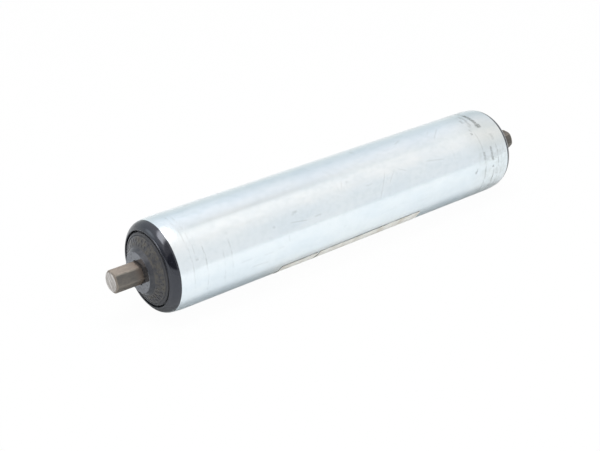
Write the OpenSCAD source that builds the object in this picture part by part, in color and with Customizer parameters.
// Light conveyor roller: zinc-plated tube on two deep-groove ball bearings,
// each in a moulded housing behind a labyrinth seal cover, turning on a
// spring-loaded hexagonal axle. The roller lies along X and its middle is the
// origin: the near end is at -X, the far end at +X, and +Z is up.

/* [Tube] */
// Length of the steel tube, from edge to edge
tube_l = 234; // [170:1:600]
// Outside diameter of the tube
tube_od = 50; // [49:0.5:60]
// Wall thickness of the tube
tube_wall = 1.5; // [1:0.1:2]
// Length of the rolled-in stretch at each end of the tube
roll_l = 7.5; // [5:0.5:9]
// How far the rolled-in edge drops on the radius
roll_drop = 0.55; // [0.4:0.05:1.2]

/* [Axle] */
// Width of the hexagonal axle across its flats
axle_af = 11; // [9:0.1:11.2]
// How far each end of the axle stands out of its hub
axle_out = 15.5; // [14:0.5:30]
// Angle of the axle's first corner above the horizontal
axle_turn = 6; // [0:1:59]
// Length of the turned chamfer on each tip of the axle
axle_chamfer = 0.9; // [0.5:0.1:1.5]
// Radius of the flat end face inside the chamfer
axle_tip_r = 4.8; // [3.5:0.1:4.8]
// How much the six drawn edges are rounded off, on the radius
axle_edge = 0.3; // [0.1:0.05:0.4]

/* [Bearing] */
// Bore of the ball bearing
brg_bore = 15; // [14.8:0.1:15.6]
// Outside diameter of the ball bearing
brg_od = 32; // [31:0.5:33]
// Width of the ball bearing
brg_w = 9; // [8:0.5:11]
// Diameter of one ball
ball_d = 4.762; // [4:0.05:5]
// Number of balls in one bearing
ball_n = 9; // [6:1:9]

/* [Bearing housing] */
// Depth of the housing inside the tube
housing_l = 24; // [16:1:40]
// Wall thickness of the housing's outer skirt
skirt_t = 2.2; // [1.6:0.1:3]
// How far the housing's rim stands out past the tube
rim_out = 4.7; // [4.2:0.1:7]
// Distance from the tube's outside to the middle of the rim's round edge
rim_inset = 4.4; // [3.6:0.1:4.5]
// Radius of the housing's round shoulder, from the tube's edge to the rim
shoulder_r = 5.5; // [5.2:0.1:12]
// Depth of the bearing's outer face behind the tube's edge
brg_set = 1; // [0.8:0.1:2]
// Thickness of the web that carries the bearing sleeve
web_t = 2; // [1.5:0.1:3]
// Number of ribs between the skirt and the bearing sleeve
rib_n = 12; // [6:1:18]
// Thickness of each rib
rib_t = 1.4; // [1:0.1:2]

/* [Seal cover] */
// Play between each flat of the axle and the hole in the hub
hub_play = 0.35; // [0.1:0.05:0.6]
// How far the hub face stands out past the tube's edge
hub_out = 10; // [8.5:0.1:13]
// Radius of the flat hub face
hub_face_r = 10.9; // [10.2:0.1:11.5]
// Radius at which the hub's slope meets the cover's dome
hub_foot_r = 12.5; // [12.2:0.1:13.5]
// How far the top of the dome stands out past the tube's edge
dome_out = 7.8; // [6.5:0.1:8.2]
// Wall thickness of the cover
cover_t = 1.2; // [0.8:0.1:1.5]
// Depth of the cover's edge behind the top of the housing's rim
cover_set = 0.1; // [0:0.1:0.8]
// Width of the open gap between the cover and the housing's rim
rim_gap = 1; // [0.6:0.1:1.3]
// Number of low moulded ribs in each of the two rows around the cover's dome
tick_n = 36; // [12:1:44]

/* [Spring and stops] */
// Travel of the axle against its spring
travel = 12; // [6:0.5:13]
// Length of the spring with the axle pushed all the way in
spring_in_l = 42; // [34:1:80]
// Mean diameter of the spring's coils
coil_d = 17; // [16:0.5:22]
// Diameter of the spring wire
wire_d = 1.6; // [1:0.1:2]
// Number of turns in the spring
coil_n = 11; // [6:1:14]
// Outside diameter of the stop washers
washer_od = 20; // [18.5:0.5:24]
// Thickness of the stop washers
washer_t = 1.5; // [1:0.1:2.5]
// Diameter of the cross pins through the axle
pin_d = 3; // [2:0.5:4]

/* [Label] */
// Thickness of the paper labels
label_t = 0.15; // [0.1:0.01:0.3]
// Width of both labels, measured straight across
label_w = 36; // [20:1:44]
// Length of the long label
label_long_l = 73; // [30:1:90]
// Length of the short label
label_short_l = 24; // [10:1:40]
// Gap between the two labels
label_gap = 2; // [0.5:0.1:6]
// Place of the long label's near edge along the tube
label_x = -26; // [-40:1:0]
// Angle around the tube of the labels' middle, from +Y towards +Z
label_mid = 257; // [200:1:320]
// Angle by which the labels are stuck on askew
label_skew = 1; // [-3:0.1:3]

/* [Hidden] */
// Sides of a full circle in the preview mesh.
$fn = 96;
// Clearances: pieces pressed together, hex pieces on the axle, ball in race,
// ball in cage, and an end face on its seat.
fit = 0.02;
hex_play = 0.05;
ball_play = 0.06;
cage_play = 0.1;
seat = 0.04;

// Tube: radii, and the arc along which its ends are rolled in.
tube_r = tube_od/2;
tube_ri = tube_r - tube_wall;
roll_r = (roll_l*roll_l + roll_drop*roll_drop)/(2*roll_drop);
roll_a = asin(roll_l/roll_r);

// Bearing: pitch circle, races, shoulders and shields.
brg_r = brg_od/2;
bore_r = brg_bore/2;
pitch_r = (brg_r + bore_r)/2;
race_r = ball_d/2 + ball_play;
land = 0.33*ball_d;
brg_edge = 0.4;
brg_mid = -brg_set - brg_w/2;
shield_t = 0.35;
shield_set = 0.4;
shield_bite = 0.6;
shield_gap = 0.35;
cage_t = 1.3;
cage_w = ball_d + 1.2;

// Housing: z is measured outwards from the tube's edge.
rim_bead = 0.4;
rim_r = tube_r - rim_inset;
rim_in = rim_r - rim_bead;
rim_z = rim_out - rim_bead;
floor_z = -brg_set + 0.4;
sleeve_t = 2;
lip_r = brg_r - 1.6;
lip_t = 2;
lip_z = -brg_set - brg_w - seat;
skirt_in = tube_ri - skirt_t;
rib_l = brg_w + brg_set + 3;
lead_in = 0.8;
root = 0.3;

// Labyrinth: rings of the roller and of the cover in turn, from the bearing
// out to the cover's skirt. Their thickness and the gaps between them share
// the room there: a ridge, a ring, a thicker wall and the skirt, and 3 gaps.
cover_r = rim_in - rim_gap;
ridge_over = 2.2;
ridge_i = brg_r - ridge_over;
wall_share = 1.25;
lab_t = (cover_r - ridge_i)/(6 + wall_share);
lab_gap = lab_t;
ridge_o = ridge_i + lab_t;
ring_i = ridge_o + lab_gap;
ring_o = ring_i + lab_t;
wall_i = ring_o + lab_gap;
wall_o = wall_i + wall_share*lab_t;
spigot_r = min(brg_r, wall_i) - fit;
floor_in = max(brg_r + fit, wall_i);
wall_foot = max(wall_o, brg_r + fit + root);
edge_z = rim_out - cover_set;
edge_cut = 0.2;
flange_t = 1.2;
ring_z = floor_z + flange_t + lab_gap;
skirt_z = floor_z + lab_gap;

// Dome of the cover: a plain margin, a fine groove, then a cone up to the hub.
margin_w = 1.6;
margin_rise = 0.4;
groove_w = 0.5;
groove_d = 0.3;
band_r = cover_r - margin_w;
band_z = edge_z + margin_rise;
dome_tilt = atan((dome_out - band_z)/(band_r - hub_foot_r));
wall_z = band_z - cover_t - lab_gap;

// Low ribs on the dome, in two rows that are staggered by half a step.
tick_t = 0.8;
tick_h = 0.16;
tick_clear = 0.8;
tick_gap = 0.4;
tick_in = hub_foot_r + tick_clear;
tick_out = band_r - tick_clear;
tick_l = (tick_out - tick_in - tick_gap)/2;

// Hub of the cover: rounded edge, and the sleeve that meets the inner ring.
hub_round = 0.25;
hub_top_t = 2.2;
hub_sleeve_r = 9.4;

// Bush, washers, pins and spring, placed along X.
spring_l = spring_in_l + travel;
bush_flange_r = 9.2;
bush_flange_t = 1.2;
hub_x = tube_l/2 + hub_out;
axle_l = 2*(hub_x + axle_out);
bush_x = tube_l/2 - brg_set - brg_w - bush_flange_t - seat;
washer_bore = 2*hex_corner(axle_af) + 0.3;
pin_l = washer_od - 2;
pin_wall = 0.6;
pin_slot = 0.5;
spring_end_x = bush_x - seat - washer_t;
spring_stop_x = spring_end_x - spring_l;

// ---- Helpers ----

// Corner radius of a hexagon of this width across its flats.
function hex_corner(af) = af/sqrt(3);

// Puts an end piece, drawn with z outwards from the tube's edge, at its end:
// side is -1 for the near end and 1 for the far end.
module at_end(side) {
    translate([side*tube_l/2, 0, 0]) rotate([0, side*90, 0]) children();
}

// A ring or disc about z, between two radii and two heights.
module ring2d(r0, r1, z0, z1) {
    translate([r0, z0]) square([r1 - r0, z1 - z0]);
}

// A hexagonal bar along X, turned as the axle lies.
module hex_bar(af, x0, x1) {
    rotate([axle_turn + 30, 0, 0]) translate([x0, 0, 0]) rotate([0, 90, 0])
        cylinder(r = hex_corner(af), h = x1 - x0, $fn = 6);
}

// A round bar along X.
module round_bar(r, x0, x1) {
    translate([x0, 0, 0]) rotate([0, 90, 0]) cylinder(r = r, h = x1 - x0);
}

// The hole for the axle through an end piece, with this play at each flat.
module hex_hole(play) {
    hex_bar(axle_af + 2*play, -axle_l, axle_l);
}

// ---- Axle and what is fixed to it ----

// Centre of each cross pin: behind the near stop washer, behind the spring's.
function pin_xs() = [-bush_x + seat + washer_t + seat + pin_d/2,
    spring_stop_x - seat - washer_t - seat - pin_d/2];

// Near face of each stop washer on the axle.
function washer_xs() = [-bush_x + seat, spring_stop_x - seat - washer_t];

module axle_bar() {
    edge_r = hex_corner(axle_af) - axle_edge;
    half = axle_l/2;
    intersection() {
        hex_bar(axle_af, -half, half);
        rotate([0, 90, 0]) rotate_extrude() polygon([[0, -half], [axle_tip_r, -half],
            [edge_r, axle_chamfer - half], [edge_r, half - axle_chamfer],
            [axle_tip_r, half], [0, half]]);
    }
}

module cross_pin(x, r, l) {
    rotate([axle_turn, 0, 0]) translate([x, 0, 0]) cylinder(r = r, h = l, center = true);
}

module axle() {
    color("#8f8a82") difference() {
        axle_bar();
        for (x = pin_xs()) cross_pin(x, pin_d/2 + fit, 2*axle_af);
    }
}

module washer(x) {
    difference() {
        round_bar(washer_od/2, x, x + washer_t);
        round_bar(washer_bore/2, x - 1, x + washer_t + 1);
    }
}

module stop_washers() {
    color("#b9bdc0") for (x = washer_xs()) washer(x);
}

module spring_pin(x) {
    difference() {
        cross_pin(x, pin_d/2, pin_l);
        cross_pin(x, pin_d/2 - pin_wall, 2*pin_l);
        rotate([axle_turn, 0, 0]) translate([x, -pin_slot/2, -pin_l])
            cube([pin_d, pin_slot, 2*pin_l]);
    }
}

module stop_pins() {
    color("#5c5f61") for (x = pin_xs()) spring_pin(x);
}

// The spring: a wire swept along a helix whose first and last turns lie
// closed, so its ends sit flat on the washers.
coil_steps = 18;
wire_sides = 8;
coil_len = spring_l - wire_d - 2*seat;
open_pitch = (coil_len - 2*wire_d*1.02)/(coil_n - 2);
function coil_x(t) = t < 1 ? t*wire_d*1.02
    : t > coil_n - 1 ? coil_len - (coil_n - t)*wire_d*1.02
    : wire_d*1.02 + (t - 1)*open_pitch;
function coil_point(t, a) = let (r = coil_d/2 + wire_d/2*cos(a))
    [spring_stop_x + wire_d/2 + seat + coil_x(t) + wire_d/2*sin(a),
     r*cos(360*t), r*sin(360*t)];
module axle_spring() {
    rings = coil_n*coil_steps;
    points = [for (i = [0 : rings], k = [0 : wire_sides - 1])
        coil_point(i/coil_steps, 360*k/wire_sides)];
    sides = [for (i = [0 : rings - 1], k = [0 : wire_sides - 1])
        let (m = (k + 1)%wire_sides, a = i*wire_sides, b = a + wire_sides)
        each [[a + k, b + k, a + m], [a + m, b + k, b + m]]];
    first = [for (k = [0 : wire_sides - 1]) k];
    last = [for (k = [wire_sides - 1 : -1 : 0]) rings*wire_sides + k];
    color("#6f7375") polyhedron(points, concat(sides, [first, last]));
}

// ---- Pieces that keep still on the axle but slide along it ----

module bush(side) {
    difference() {
        at_end(side) rotate_extrude() {
            ring2d(1, bore_r - fit, -brg_set - brg_w - seat, -brg_set - seat);
            ring2d(1, bush_flange_r, -brg_set - brg_w - seat - bush_flange_t,
                -brg_set - brg_w - seat);
        }
        hex_hole(hex_play);
    }
}

module near_bush() { color("#d8d4c8") bush(-1); }
module far_bush() { color("#d8d4c8") bush(1); }

module spring_seat() {
    color("#b9bdc0") washer(spring_end_x);
}

// One bearing ring: a block with its race groove cut by a circle.
module race_ring(side, r0, r1, cut_shields) {
    at_end(side) rotate_extrude() difference() {
        ring2d(r0, r1, -brg_set - brg_w, -brg_set);
        translate([pitch_r, brg_mid]) circle(r = race_r);
        if (cut_shields) for (z = [-brg_set - brg_w - 1, -brg_set - shield_set - shield_t])
            translate([r0 - 1, z]) square([1 + shield_bite, 1 + shield_set + shield_t]);
        for (m = [-1, 1]) translate([r1 > brg_r - 1 ? brg_r : bore_r, brg_mid + m*brg_w/2])
            rotate(45) square(brg_edge*sqrt(2), center = true);
    }
}

module near_inner_ring() { color("#c9cccd") race_ring(-1, bore_r, pitch_r - land, false); }
module far_inner_ring() { color("#c9cccd") race_ring(1, bore_r, pitch_r - land, false); }

// Height of the dome's outside at a radius.
function dome_z(r) = band_z + (band_r - r)*tan(dome_tilt);

// Labyrinth seal cover: a domed shell with a skirt and an inner ring that
// reach into the housing, and a hub with a sleeve down to the bearing.
module cover_2d() {
    polygon([[1, seat - brg_set], [hub_sleeve_r, seat - brg_set],
        [hub_sleeve_r, hub_out - hub_top_t], [hub_foot_r - cover_t, dome_out - cover_t],
        [band_r, band_z - cover_t], [cover_r - lab_t, edge_z - cover_t],
        [cover_r - lab_t, skirt_z], [cover_r, skirt_z], [cover_r, edge_z - edge_cut],
        [cover_r - edge_cut, edge_z], [band_r + groove_w, band_z],
        [band_r + groove_w/2, band_z - groove_d], [band_r, band_z],
        [hub_foot_r, dome_out], [hub_face_r + hub_round, hub_out - hub_round],
        [hub_face_r, hub_out], [1, hub_out]]);
    ring2d(ring_i, ring_o, ring_z, dome_z(ring_o) - cover_t/2);
}

// One low rib, from this radius outwards, lying on the dome.
module tick(r) {
    translate([r, -tick_t/2, dome_z(r)]) rotate([0, dome_tilt, 0])
        translate([0, 0, -tick_h]) cube([tick_l/cos(dome_tilt), tick_t, 2*tick_h]);
}

module cover(side) {
    difference() {
        at_end(side) {
            rotate_extrude() cover_2d();
            for (i = [0 : tick_n - 1]) {
                rotate(360*i/tick_n) tick(tick_in);
                rotate(360*(i + 0.5)/tick_n) tick(tick_out - tick_l);
            }
        }
        hex_hole(hub_play);
    }
}

module near_cover() { color("#5b5b5a") cover(-1); }
module far_cover() { color("#5b5b5a") cover(1); }

// ---- Balls and cages ----

module at_balls() {
    for (i = [0 : ball_n - 1]) rotate(360*i/ball_n) translate([pitch_r, 0, brg_mid]) children();
}

module balls(side) { at_end(side) at_balls() sphere(d = ball_d, $fn = 48); }
module near_balls() { color("#d5d8da") balls(-1); }
module far_balls() { color("#d5d8da") balls(1); }

module cage(side) {
    at_end(side) difference() {
        rotate_extrude() ring2d(pitch_r - cage_t/2, pitch_r + cage_t/2,
            brg_mid - cage_w/2, brg_mid + cage_w/2);
        at_balls() rotate([0, 90, 0])
            cylinder(d = ball_d + 2*cage_play, h = 3*cage_t, center = true, $fn = 48);
    }
}

module near_cage() { color("#a8a49a") cage(-1); }
module far_cage() { color("#a8a49a") cage(1); }

// ---- Pieces that turn ----

// Section of the tube's rolled-in end, a stretch of arc about a centre inside.
module roll_2d(r0, r1) {
    z0 = -roll_l;
    c = tube_r - roll_r;
    reach = roll_r + 5;
    intersection() {
        difference() {
            translate([c, z0]) circle(r = r1, $fn = 720);
            translate([c, z0]) circle(r = r0, $fn = 720);
        }
        polygon([[c, z0], [c + reach, z0], [c + reach*cos(roll_a), z0 + reach*sin(roll_a)]]);
    }
}

module tube() {
    color("#b9c2cb") rotate([0, 90, 0]) rotate_extrude() {
        ring2d(tube_ri, tube_r, roll_l - tube_l/2, tube_l/2 - roll_l);
        for (m = [0, 1]) mirror([0, m]) translate([0, tube_l/2])
            roll_2d(roll_r - tube_wall, roll_r);
    }
}

// Section of the housing: skirt inside the tube, shoulder and rim outside it,
// floor with the labyrinth wall, and the bearing sleeve with its back lip.
module housing_2d() {
    c = tube_r - roll_r;
    inner = roll_r - tube_wall - fit;
    edge = [c + (roll_r - 0.1)*cos(roll_a), (roll_r - 0.1)*sin(roll_a) - roll_l + seat];
    foot = [c + inner*cos(roll_a), inner*sin(roll_a) - roll_l + seat];
    difference() {
        union() {
            // skirt up to where the tube starts to roll in
            polygon([[skirt_in, -housing_l], [tube_ri - fit - lead_in, -housing_l],
                [tube_ri - fit, lead_in - housing_l], [tube_ri - fit, -roll_l],
                [skirt_in, -roll_l]]);
            // skirt under the rolled-in stretch
            intersection() {
                translate([c, -roll_l]) circle(r = inner, $fn = 720);
                ring2d(floor_in, tube_r, -roll_l - 1, foot[1]);
            }
            // shoulder from the tube's edge to the rim
            intersection() {
                polygon([[floor_in, floor_z - 1], [foot[0], floor_z - 1], foot, edge,
                    [edge[0], rim_z], [floor_in, rim_z]]);
                translate(shoulder_centre(edge)) circle(r = shoulder_r, $fn = 360);
            }
            translate([rim_r, rim_z]) circle(r = rim_bead, $fn = 48);
        }
        // open front
        ring2d(wall_i - 1, rim_in, floor_z, rim_out + 1);
        // hollow behind the web
        ring2d(wall_i - 1, skirt_in, -housing_l - 1, floor_z - web_t);
    }
    ring2d(brg_r + fit, skirt_in + root, floor_z - web_t, floor_z);
    ring2d(wall_i, wall_o, floor_z - root, wall_z);
    ring2d(wall_i, wall_foot, floor_z - root, floor_z);
    ring2d(brg_r + fit, brg_r + fit + sleeve_t, lip_z - lip_t, floor_z - root);
    ring2d(lip_r, brg_r + fit + root, lip_z - lip_t, lip_z);
}

// Centre of the round shoulder, which runs from the tube's edge to the rim.
function shoulder_centre(edge) = let (
    tip = [rim_r + rim_bead, rim_z],
    mid = (edge + tip)/2,
    half = norm(edge - tip)/2,
    along = (tip - edge)/norm(tip - edge),
    back = sqrt(shoulder_r*shoulder_r - half*half))
    mid + back*[-along[1], along[0]];

module housing(side) {
    at_end(side) {
        rotate_extrude() housing_2d();
        for (i = [0 : rib_n - 1]) rotate(360*i/rib_n)
            translate([brg_r + fit + sleeve_t/2, -rib_t/2, -rib_l])
                cube([skirt_in + skirt_t/2 - brg_r - fit - sleeve_t/2, rib_t, rib_l + floor_z - root]);
    }
}

module near_housing() { color("#1d1d20") housing(-1); }
module far_housing() { color("#1d1d20") housing(1); }

// Ring that keeps the bearing in its seat and carries the first labyrinth lip.
module seal_ring(side) {
    at_end(side) rotate_extrude() {
        ring2d(ridge_i, wall_i - fit, floor_z + seat, floor_z + flange_t);
        ring2d(ridge_i, spigot_r, seat - brg_set, floor_z + flange_t);
        ring2d(ridge_i, ridge_o, floor_z + flange_t/2, wall_z);
    }
}

module near_seal_ring() { color("#2a2a2d") seal_ring(-1); }
module far_seal_ring() { color("#2a2a2d") seal_ring(1); }

module near_outer_ring() { color("#c9cccd") race_ring(-1, pitch_r + land, brg_r, true); }
module far_outer_ring() { color("#c9cccd") race_ring(1, pitch_r + land, brg_r, true); }

module shields(side) {
    at_end(side) rotate_extrude() for (z = [-brg_set - shield_set - shield_t,
            -brg_set - brg_w + shield_set])
        ring2d(pitch_r - land + shield_gap, pitch_r + land + shield_bite - fit, z, z + shield_t);
}

module near_shields() { color("#9fa3a5") shields(-1); }
module far_shields() { color("#9fa3a5") shields(1); }

// A paper label: a thin shell around the tube, cut by a box that stands
// slightly askew on the tube.
module label(x0, l) {
    intersection() {
        difference() {
            round_bar(tube_r + fit/2 + label_t, x0 - 5, x0 + l + 5);
            round_bar(tube_r + fit/2, x0 - 6, x0 + l + 6);
        }
        rotate([label_mid, 0, 0]) rotate([0, label_skew, 0])
            translate([x0, tube_r/2, -label_w/2]) cube([l, tube_r, label_w]);
    }
}

module label_long() { color("#cfc8bb") label(label_x, label_long_l); }
module label_short() {
    color("#cfc8bb") label(label_x - label_gap - label_short_l, label_short_l);
}

axle();
stop_washers();
stop_pins();
axle_spring();
near_bush();
far_bush();
near_inner_ring();
far_inner_ring();
near_cover();
far_cover();
spring_seat();
near_balls();
far_balls();
near_cage();
far_cage();
tube();
near_housing();
far_housing();
near_seal_ring();
far_seal_ring();
near_outer_ring();
far_outer_ring();
near_shields();
far_shields();
label_long();
label_short();
